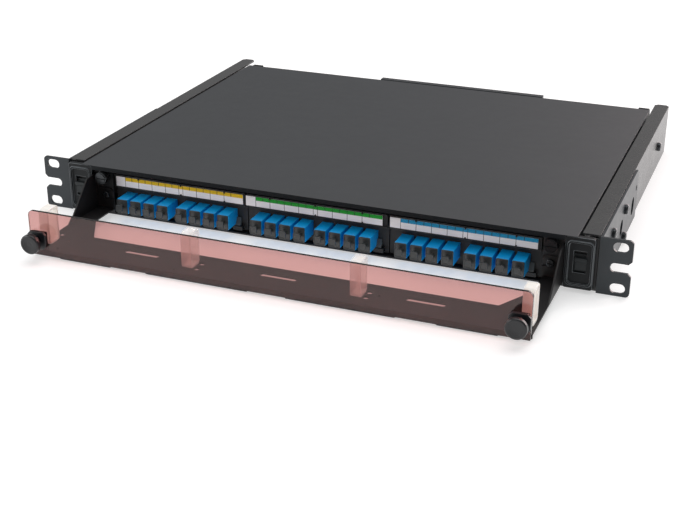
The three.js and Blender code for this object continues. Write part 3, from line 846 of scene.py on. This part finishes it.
@dataclass
class DustCaps:
    """Plugs in the adapters' sockets, each with a lip and a pull tab on a short stem."""

    lip_thick: float = 1.0 * MM
    lip_round: float = 0.9 * MM
    stem_width: float = 2.8 * MM
    stem_height: float = 3.6 * MM
    tab_width: float = 5.8 * MM
    tab_height: float = 6.0 * MM
    tab_thick: float = 1.2 * MM
    plug_width: float = 6.8 * MM
    plug_height: float = 9.2 * MM

    def names(self) -> list[str]:
        """The nodes of all the caps, in order."""
        return [f"dust_cap_{n}{g}{i}" for n in BANDS for g in "ab" for i in (1, 2, 3, 4)]

    def build(self) -> None:
        """Makes one cap and copies it to every adapter."""
        names = self.names()
        low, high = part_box(names[0])
        middle = (low + high) / 2
        pattern = self.model(low, high, middle)
        for name in names:
            other_low, other_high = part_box(name)
            cap = Bench.copy_of(pattern, f"{name}_plug", (other_low + other_high) / 2 - middle)
            Bench.fit(cap, name, "cap_smoke", name)
        bpy.data.objects.remove(pattern)

    def model(self, low: Vector, high: Vector, middle: Vector) -> Piece:
        """The cap that the others are copied from.

        Args:
            low: the node's lowest corner.
            high: the node's highest corner.
            middle: the node's middle.

        Returns:
            The finished cap.
        """
        lip_front = low.y + self.tab_thick + 3.6 * MM

        def centred(name: str, width: float, height: float, start: float, end: float) -> Piece:
            """A block about the cap's axis."""
            half = Vector((width / 2, 0, height / 2))
            return Bench.block(name, Vector((middle.x, start, middle.z)) - half,
                               Vector((middle.x, end, middle.z)) + half)

        lip = centred("cap_pattern", high.x - low.x, high.z - low.z, lip_front, lip_front + self.lip_thick)
        Bench.round_edges(lip, Vector((0, 1, 0)), self.lip_round, 4)
        Bench.step_face(lip, lambda _, normal: normal.y < -0.9, 0.6 * MM, Vector((0, 0.4 * MM, 0)))
        plug = centred("plug", self.plug_width, self.plug_height, lip_front + 0.5 * MM, high.y)
        Bench.round_edges(plug, Vector((0, 1, 0)), 0.6 * MM, 3)
        stem = centred("stem", self.stem_width, self.stem_height, low.y + 0.5 * MM, lip_front + 0.7 * MM)
        Bench.round_edges(stem, Vector((0, 1, 0)), 0.5 * MM, 3)
        tab = centred("tab", self.tab_width, self.tab_height, low.y, low.y + self.tab_thick)
        Bench.round_edges(tab, Vector((0, 1, 0)), 0.9 * MM, 4)
        Bench.step_face(tab, lambda _, normal: normal.y < -0.9, 0.6 * MM, Vector((0, 0.3 * MM, 0)))
        Bench.fuse(lip, [plug, stem, tab])
        Bench.dress(lip, "cap")
        Bench.soften(lip, 0.14 * MM, 2, 50.0)
        Bench.smooth(lip)
        return lip


@dataclass
class LabelStrips:
    """Printed cards in the modules' holders: blank end, white cells and a band of colour."""

    blank: float = 8.4 * MM
    cell: float = 12.1 * MM
    gap: float = 3.6 * MM
    line: float = 0.38 * MM
    tick: float = 0.5 * MM
    band_share: float = 0.38

    def build(self) -> None:
        """Prints one card and copies it to every module in the module's own colour."""
        pattern = self.model()
        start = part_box("label_strip_1")[0]
        for number, band in BANDS.items():
            node = f"label_strip_{number}"
            card = Bench.copy_of(pattern, f"{node}_card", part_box(node)[0] - start)
            card.data.materials[2] = Palette.get(band)
            Bench.fit(card, f"module_{number}", "label_card", node)
        bpy.data.objects.remove(pattern)

    def model(self) -> Piece:
        """The card that the others are copied from.

        Returns:
            The printed card, in the first module's holder.
        """
        low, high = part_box("label_strip_1")
        card = Bench.block("card_pattern", low, high)
        borders = self.borders(low.x)
        band_bottom = high.z - self.band_share * (high.z - low.z)
        ticks = [(a + b) / 2 for a, b in zip(borders, borders[1:]) if b - a > self.gap * 2]
        ticks.append(borders[-1] + self.cell / 2)
        uprights = [x + s * self.line / 2 for x in borders for s in (-1, 1)]
        uprights += [x + s * self.tick / 2 for x in ticks for s in (-1, 1)]
        for x in uprights:
            self.slice(card, Vector((x, 0, 0)), Vector((1, 0, 0)))
        self.slice(card, Vector((0, 0, band_bottom)), Vector((0, 0, 1)))
        Bench.dress(card, "card", "ink", BANDS[1])
        for face in card.data.polygons:
            if face.normal.y < -0.9:
                face.material_index = self.print_at(face.center, borders, ticks, band_bottom)
        return card

    def borders(self, start: float) -> list[float]:
        """Where the printed lines stand.

        Args:
            start: the card's left end.

        Returns:
            X of each line.
        """
        runs = [self.blank] + 4 * [self.cell] + [self.gap] + 3 * [self.cell]
        found = []
        for run in runs:
            start += run
            found.append(start)
        return found

    def print_at(self, middle: Vector, borders: list[float], ticks: list[float], band: float) -> int:
        """Which ink a patch of the front takes.

        Args:
            middle: the patch's middle.
            borders: X of each printed line.
            ticks: X of each mark in the band.
            band: lower edge of the colour band.

        Returns:
            0 for bare card, 1 for black, 2 for the band's colour.
        """
        if any(abs(middle.x - x) < self.line / 2 for x in borders):
            return 1
        if middle.z < band or middle.x < borders[0]:
            return 0
        return 1 if any(abs(middle.x - x) < self.tick / 2 for x in ticks) else 2

    @staticmethod
    def slice(piece: Piece, point: Vector, normal: Vector) -> None:
        """Cuts a new edge loop round the piece where a plane meets it.

        Args:
            piece: the piece.
            point: a point on the plane.
            normal: the plane's normal.
        """
        with Bench.shaping(piece):
            bpy.ops.mesh.select_all(action="SELECT")
            bpy.ops.mesh.bisect(plane_co=point, plane_no=normal)


@dataclass
class ModuleTrims:
    """Small grey catches at both ends of each module, and the clips that hold its label card."""

    wedge: tuple[float, float] = (48.8 * MM, 53.4 * MM)
    wedge_low: float = 7.9 * MM
    wedge_high: float = 14.2 * MM
    wedge_slope: float = 2.9 * MM
    face_back: float = 4.0 * MM
    clip_width: float = 1.3 * MM
    clip_places: tuple[tuple[float, int], ...] = (
        (20.5 * MM, 1), (58.6 * MM, 1), (58.6 * MM, -1), (97.0 * MM, 1), (97.0 * MM, -1))

    def build(self) -> None:
        """Makes the trim of one module and copies it to all three."""
        for pattern, beside, name in ((self.catches(), "module", "module_{}_catches"),
                                      (self.clips(), "label_strip", "label_clips_{}")):
            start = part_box(f"{beside}_1")[0]
            for number in BANDS:
                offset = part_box(f"{beside}_{number}")[0] - start
                trim = Bench.copy_of(pattern, name.format(number), offset)
                Bench.fit(trim, f"module_{number}", "module_coat")
            bpy.data.objects.remove(pattern)

    def catches(self) -> Piece:
        """Wedges that slope back towards the top, one at each end.

        Returns:
            The first module's catches.
        """
        low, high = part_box("module_1")
        centre = (low.x + high.x) / 2
        face = low.y + self.face_back
        wedges = []
        for sign in (-1, 1):
            across = sorted((centre + sign * self.wedge[0], centre + sign * self.wedge[1]))
            wedge = Bench.block("wedge", Vector((across[0], face - 3.2 * MM, self.wedge_low)),
                                Vector((across[1], face + 0.3 * MM, self.wedge_high)))
            with Bench.shaping(wedge, "EDGE"):
                Bench.choose(lambda middle, run: abs(run.x) > 0.9 and middle.z > self.wedge_high - MM
                             and middle.y < face - MM, "EDGE")
                bpy.ops.transform.translate(value=(0, self.wedge_slope, 0))
            Bench.soften(wedge, 0.25 * MM)
            wedges.append(wedge)
        catches = Bench.joined(wedges)
        Bench.dress(catches, "catch")
        Bench.smooth(catches)
        return catches

    def clips(self) -> Piece:
        """Black nibs that reach over the card's edges.

        Returns:
            The first module's clips.
        """
        low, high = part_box("label_strip_1")
        half = self.clip_width / 2
        nibs = []
        for along, up in self.clip_places:
            x = low.x + along
            z = high.z if up > 0 else low.z
            nib = Bench.block("nib", Vector((x - half, low.y - 0.55 * MM, z - 0.9 * MM)),
                              Vector((x + half, low.y - 0.05 * MM, z + 0.9 * MM)))
            Bench.round_edges(nib, Vector((0, 1, 0)), 0.4 * MM, 3)
            nibs.append(nib)
        clips = Bench.joined(nibs)
        Bench.dress(clips, "module")
        Bench.smooth(clips)
        return clips


@dataclass
class CordRings:
    """Closed loops on the cord tray that keep patch cords together."""

    finishes: tuple[str, ...] = ("milky", "clear", "clear", "milky")
    band: float = 1.7 * MM
    corner: float = 3.2 * MM

    def build(self) -> None:
        """Makes one loop and copies it to its four places."""
        low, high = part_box("cord_ring_1")
        pattern = Bench.block("loop_pattern", low, high)
        Bench.round_edges(pattern, Vector((1, 0, 0)), self.corner, 7)
        with Bench.shaping(pattern):
            Bench.choose(lambda _, normal: abs(normal.x) > 0.9)
            bpy.ops.mesh.inset(thickness=self.band, depth=0.0)
            bpy.ops.mesh.bridge_edge_loops()
        Bench.soften(pattern, 0.45 * MM, 3, 50.0)
        Bench.smooth(pattern)
        for number, finish in enumerate(self.finishes, 1):
            node = f"cord_ring_{number}"
            loop = Bench.copy_of(pattern, f"{node}_loop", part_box(node)[0] - low)
            Bench.dress(loop, finish)
            Bench.fit(loop, "cord_tray", "ring_frost", node)
        bpy.data.objects.remove(pattern)


@dataclass
class ClearPlate:
    """Tinted acrylic front plate of the cord tray with its two knob bases."""

    corner: float = 4.0 * MM
    bore: float = 2.8 * MM
    polish: float = 0.3 * MM

    def build(self) -> None:
        """Makes the plate and the bases."""
        low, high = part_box("clear_cover")
        plate = Bench.block("clear_cover_sheet", low, high)
        Bench.round_edges(plate, Vector((0, 1, 0)), self.corner, 8, lambda middle: middle.z > 0.5 * high.z)
        bores = []
        for side in Side:
            knob_low, knob_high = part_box(f"{side.word}_knob")
            centre = (knob_low + knob_high) / 2
            centre.y = (low.y + high.y) / 2
            bores.append(Bench.rod("bore", centre, self.bore, 3 * (high.y - low.y), Along.Y, 32))
        Bench.fuse(plate, bores, "DIFFERENCE")
        Bench.dress(plate, "acrylic", "acrylic_edge")
        Bench.soften(plate, self.polish, 2, 50.0, 1)
        for face in plate.data.polygons:
            if face.normal.z > 0.6:
                face.material_index = 1
        Bench.smooth(plate)
        Bench.fit(plate, "clear_cover", "rose_acrylic", "clear_cover")
        for side in Side:
            base = Bench.welded_copy(f"{side.word}_knob_base", f"{side.word}_knob_seat")
            Bench.dress(base, "knob")
            Bench.soften(base, 0.55 * MM, 3)
            Bench.smooth(base)
            Bench.fit(base, "clear_cover", "knob_plastic", f"{side.word}_knob_base")


@dataclass
class PullKnob:
    """Round pull knob: dished head, ribbed neck and a pin that holds the plate to the tray."""

    side: Side
    head_radius: float = 7.75 * MM
    head_thick: float = 4.6 * MM
    neck_radius: float = 4.75 * MM
    pin_radius: float = 2.4 * MM
    neck_rear: float = 9.7 * MM
    edge_round: float = 1.3 * MM
    dish: tuple[tuple[float, float], ...] = (
        (0.9 * MM, 0.28 * MM), (1.4 * MM, 0.22 * MM), (1.6 * MM, 0.12 * MM))

    def build(self) -> None:
        """Makes the knob by pushing and insetting one cylinder."""
        word = self.side.word
        low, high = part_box(f"{word}_knob")
        axis = (low + high) / 2
        centre = Vector((axis.x, low.y + self.head_thick / 2, axis.z))
        knob = Bench.rod(f"{word}_pull_knob", centre, self.head_radius, self.head_thick, Along.Y, 64)
        front = low.y
        rear = low.y + self.head_thick

        def front_face(middle: Vector, normal: Vector) -> bool:
            """The face that looks forward at the very front."""
            return normal.y < -0.9 and (middle.xz - axis.xz).length < 0.1 * MM

        def rear_face(middle: Vector, normal: Vector) -> bool:
            """The face that looks back at the very rear."""
            return normal.y > 0.9 and (middle.xz - axis.xz).length < 0.1 * MM

        with Bench.shaping(knob, "EDGE"):
            Bench.choose(lambda middle, run: abs(run.y) < 0.1, "EDGE")
            bpy.ops.mesh.bevel(offset=self.edge_round, segments=6, affect="EDGES")
        for inset, push in self.dish:
            Bench.step_face(knob, front_face, inset, Vector((0, push, 0)))
        neck_inset = self.head_radius - self.edge_round - self.neck_radius
        Bench.step_face(knob, rear_face, neck_inset, Vector((0, 1.0 * MM, 0)))
        at = rear + 1.0 * MM
        for _ in range(2):
            Bench.step_face(knob, rear_face, 0.5 * MM, Vector((0, 0.8 * MM, 0)))
            Bench.step_face(knob, rear_face, -0.5 * MM, Vector((0, 0.9 * MM, 0)))
            at += 1.7 * MM
        Bench.step_face(knob, rear_face, 0.0, Vector((0, front + self.neck_rear - at, 0)))
        Bench.step_face(knob, rear_face, self.neck_radius - self.pin_radius,
                        Vector((0, high.y - front - self.neck_rear, 0)))
        Bench.dress(knob, "knob")
        Bench.soften(knob, 0.2 * MM, 2, 50.0)
        Bench.smooth(knob, 50.0)
        Bench.fit(knob, f"{word}_knob", "knob_plastic", f"{word}_knob")


@dataclass
class Screws:
    """Screws of one end: two in the front flange, three that hold the ear to the rail."""

    side: Side
    thumb_x: float = 184.0 * MM
    thumb_z: float = 34.0 * MM
    thumb_radius: float = 5.0 * MM
    thumb_length: float = 6.0 * MM
    thumb_reach: float = 8.0 * MM
    flats: int = 48
    small_x: float = 183.6 * MM
    small_z: float = 18.3 * MM
    small_radius: float = 3.0 * MM
    web: float = 217.35 * MM
    side_radius: float = 3.9 * MM
    side_heads: tuple[tuple[float, float, float], ...] = (
        (45.5 * MM, 29.0 * MM, 4.6 * MM), (96.8 * MM, 29.0 * MM, 4.6 * MM),
        (97.0 * MM, 6.0 * MM, 4.8 * MM), (278.0 * MM, 21.5 * MM, 2.9 * MM))

    def build(self) -> None:
        """Makes all the screws of this end."""
        self.thumb()
        self.small()
        self.ear_screws()

    def thumb(self) -> None:
        """Knurled thumb screw above the tray's hooked end."""
        flange_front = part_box("drawer_tray")[0].y
        name = f"{self.side.word}_thumb_screw"
        x = self.side.value * self.thumb_x
        centre = Vector((x, flange_front - self.thumb_reach + self.thumb_length / 2, self.thumb_z))
        head = Bench.rod(name, centre, self.thumb_radius, self.thumb_length, Along.Y, self.flats)

        def every_other_side(middle: Vector, normal: Vector) -> bool:
            """Every second flat round the head."""
            turn = math.atan2(middle.z - centre.z, middle.x - centre.x) * self.flats / math.tau
            return abs(normal.y) < 0.1 and round(turn + 0.5) % 2 == 0

        with Bench.shaping(head):
            Bench.choose(every_other_side)
            bpy.ops.mesh.inset(thickness=0.01 * MM, depth=-0.3 * MM, use_individual=True)
        Bench.step_face(head, lambda middle, normal: normal.y < -0.9, 0.9 * MM, Vector((0, -0.7 * MM, 0)))
        slot = Bench.block("slot", centre + Vector((-6, -6, -0.5)) * MM,
                           centre + Vector((6, -2.6, 0.5)) * MM)
        collar = Bench.rod("collar", Vector((x, flange_front - 1.6 * MM, self.thumb_z)),
                           3.2 * MM, 3.1 * MM, Along.Y, 32)
        Bench.fuse(head, [slot], "DIFFERENCE")
        Bench.fuse(head, [collar])
        Bench.dress(head, "screw")
        Bench.soften(head, 0.12 * MM, 2, 60.0)
        Bench.smooth(head)
        Bench.fit(head, "drawer", "drawer_coat")

    def small(self) -> None:
        """Pan screw that the tray's hooked end sits on."""
        hook_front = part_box("drawer_tray")[0].y - 1.7 * MM
        centre = Vector((self.side.value * self.small_x, hook_front - 0.9 * MM, self.small_z))
        screw = self.pan_head(f"{self.side.word}_hook_screw", centre, self.small_radius, 1.6 * MM, Along.Y)
        shank = Bench.rod("shank", centre + Vector((0, 1.2 * MM, 0)), 1.6 * MM, 2.6 * MM, Along.Y, 24)
        Bench.fuse(screw, [shank])
        Bench.smooth(screw)
        Bench.fit(screw, "drawer", "drawer_coat")

    def ear_screws(self) -> None:
        """Screws through the ear's side into the rail, and one at the rail's rear end."""
        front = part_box(f"{self.side.word}_rack_ear")[0].y
        heads = []
        for back, z, stand_out in self.side_heads:
            centre = Vector((self.side.value * (self.web + stand_out / 2), front + back, z))
            heads.append(self.pan_head("ear_screw", centre, self.side_radius, stand_out, Along.X))
        screws = Bench.joined(heads)
        screws.name = f"{self.side.word}_ear_screws"
        Bench.smooth(screws)
        Bench.fit(screws, "rails", "ear_coat")

    def pan_head(self, name: str, centre: Vector, radius: float, thick: float, along: Along) -> Piece:
        """A low round head with a cross recess.

        Args:
            name: the piece's name.
            centre: middle of the head.
            radius: its radius.
            thick: its thickness.
            along: the screw's axis.

        Returns:
            The head.
        """
        head = Bench.rod(name, centre, radius, thick, along, 40)
        outward = Vector((0, -1, 0)) if along is Along.Y else Vector((self.side.value, 0, 0))
        face = centre + outward * thick / 2
        with Bench.shaping(head, "EDGE"):
            Bench.choose(lambda middle, run: (middle - face).dot(outward) > -0.1 * MM
                         and abs(run.dot(outward)) < 0.1, "EDGE")
            bpy.ops.mesh.bevel(offset=min(0.42 * thick, 1.2 * MM), segments=4, affect="EDGES")
        arms = []
        for run in (Vector((0, 0, 1)), outward.cross(Vector((0, 0, 1)))):
            half = run * radius * 0.5
            half = Vector(map(abs, half)) + Vector((1, 1, 1)) * 0.35 * MM
            deep = Vector(map(abs, outward)) * 0.5 * MM
            arms.append(Bench.block("arm", face - half - deep, face + half + deep))
        Bench.fuse(head, arms, "DIFFERENCE")
        Bench.dress(head, "screw")
        return head


# ---------------------------------------------------------------- studio


@dataclass
class Studio:
    """Pale floor, soft lamps and the camera."""

    stand: Vector = Vector((0.348085, -0.950593, 0.396423))
    yaw: float = math.radians(21.118)
    pitch: float = math.radians(24.226)
    roll: float = math.radians(0.275)
    lens: float = 66.84
    floor_size: float = 9.0
    floor_drop: float = 0.2 * MM

    def build(self) -> None:
        """Sets up the whole studio."""
        self.camera()
        self.floor()
        self.sky()
        self.lamp("key", Vector((-1.35, -0.95, 0.6)), 0.9, 11.0)
        self.lamp("overhead", Vector((0.0, 0.3, 2.6)), 2.4, 40.0)
        self.lamp("side", Vector((1.2, 2.3, 0.7)), 2.0, 66.0, (1.0, 0.85, 0.84))
        bpy.context.scene.view_settings.view_transform = "Standard"

    def camera(self) -> None:
        """The camera, turned by yaw, pitch and roll."""
        ahead = Vector((-math.sin(self.yaw) * math.cos(self.pitch),
                        math.cos(self.yaw) * math.cos(self.pitch), -math.sin(self.pitch)))
        level = Vector((math.cos(self.yaw), math.sin(self.yaw), 0))
        above = level.cross(ahead)
        right = math.cos(self.roll) * level + math.sin(self.roll) * above
        up = math.cos(self.roll) * above - math.sin(self.roll) * level
        turn = Matrix((right, up, -ahead)).transposed().to_4x4()
        data = bpy.data.cameras.new("camera")
        data.lens = self.lens
        data.sensor_width = 36.0
        data.clip_start = 0.01
        data.clip_end = 100.0
        camera = bpy.data.objects.new("camera", data)
        bpy.context.scene.collection.objects.link(camera)
        camera.matrix_world = Matrix.Translation(self.stand) @ turn
        bpy.context.scene.camera = camera

    def floor(self) -> None:
        """A pale matt floor that the rails stand on."""
        bpy.ops.object.select_all(action="DESELECT")
        bpy.ops.mesh.primitive_plane_add(size=self.floor_size, location=(0, 0, -self.floor_drop))
        floor = bpy.context.active_object
        floor.name = "floor"
        graph = Graph("pale_floor")
        shade = graph.ranged(graph.noise(3.0), 0.0, 1.0)
        shader = graph.shader.inputs
        graph.link(graph.mixed(shade, (0.62, 0.62, 0.62), (0.64, 0.64, 0.64)), shader["Base Color"])
        shader["Roughness"].default_value = 0.8
        shader["Specular IOR Level"].default_value = 0.2
        shader["Emission Color"].default_value = (1.0, 1.0, 1.0, 1.0)
        shader["Emission Strength"].default_value = 0.5
        floor.data.materials.append(graph.material)

    def sky(self) -> None:
        """Even light from all round."""
        world = bpy.data.worlds.new("studio")
        world.use_nodes = True
        background = world.node_tree.nodes["Background"]
        background.inputs["Color"].default_value = (1.0, 1.0, 1.0, 1.0)
        background.inputs["Strength"].default_value = 0.32
        bpy.context.scene.world = world

    def lamp(self, name: str, place: Vector, size: float, power: float,
             colour: Colour = (1.0, 1.0, 1.0)) -> None:
        """A square soft lamp aimed at the box.

        Args:
            name: the lamp's name.
            place: where it stands.
            size: its side.
            power: its power in watts.
            colour: the light's colour.
        """
        data = bpy.data.lights.new(name, "AREA")
        data.size = size
        data.energy = power
        data.color = colour
        lamp = bpy.data.objects.new(name, data)
        bpy.context.scene.collection.objects.link(lamp)
        lamp.location = place
        lamp.rotation_euler = (-place).to_track_quat("-Z", "Y").to_euler()


def main() -> None:
    """Builds the studio and every piece of the box, in order."""
    logging.basicConfig(level=logging.INFO, format="%(name)s: %(message)s")
    Studio().build()
    SheetWork().build()
    for side in Side:
        Bezel(side).build()
        PullKnob(side).build()
        Screws(side).build()
    AdapterBanks().build()
    LabelStrips().build()
    ModuleTrims().build()
    DustCaps().build()
    CordRings().build()
    ClearPlate().build()


if __name__ == "__main__":
    main()
